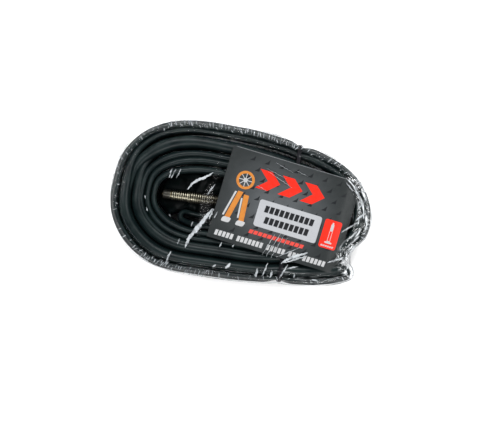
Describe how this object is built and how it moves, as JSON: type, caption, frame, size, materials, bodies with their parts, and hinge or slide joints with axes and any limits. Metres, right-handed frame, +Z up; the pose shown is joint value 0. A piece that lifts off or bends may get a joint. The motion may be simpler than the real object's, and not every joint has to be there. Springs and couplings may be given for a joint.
{
  "type": "inner tube",
  "caption": "Deflated bicycle inner tube, rolled up with its long thin valve in the middle, banded and shrink-wrapped with a printed card.",
  "frame": {"origin": "middle of the wrapped roll's box, at its base", "axes": "+X along the roll's long way, towards the loose tail end; +Z up, square to the flat faces of the roll"},
  "size_m": [0.1288, 0.0774, 0.0302],
  "materials": {
    "butyl": "satin, lightly dusted black butyl",
    "seal_rubber": "matt black",
    "nickel": "nickel-plated threads",
    "brass": "machined",
    "band_rubber": "matt black",
    "card_print": "printed dark grey card",
    "white_label": "coated white sticker",
    "red_label": "coated red sticker",
    "film": "clear glossy shrink film"
  },
  "bodies": {
    "roll": {"tube": "butyl", "valve_patch": "butyl", "valve_stem": "nickel", "core_body": "brass", "core_gasket": "seal_rubber", "rubber_band": "band_rubber", "card": "card_print", "size_sticker": "white_label", "valve_sticker": "red_label", "film_wrap": "film"},
    "core_pin": {"core_pin": "brass", "pin_seal": "seal_rubber"},
    "lock_nut": {"lock_nut": "nickel"}
  },
  "joints": [
    {"name": "lock_nut_spin", "type": "hinge", "parent": "roll", "child": "lock_nut", "pos_m": [-0.03953, -0.0016, 0.0148], "axis": [-0.9986, -0.0523, 0], "range_deg": [0, 1440]},
    {"name": "pin_push", "type": "slide", "parent": "roll", "child": "core_pin", "axis": [0.9986, 0.0523, 0], "range_m": [0, 0.002]}
  ],
  "couplings": [
    {"joint": "lock_nut_spin", "follows": "pin_push", "rad_per_m": 12566}
  ]
}
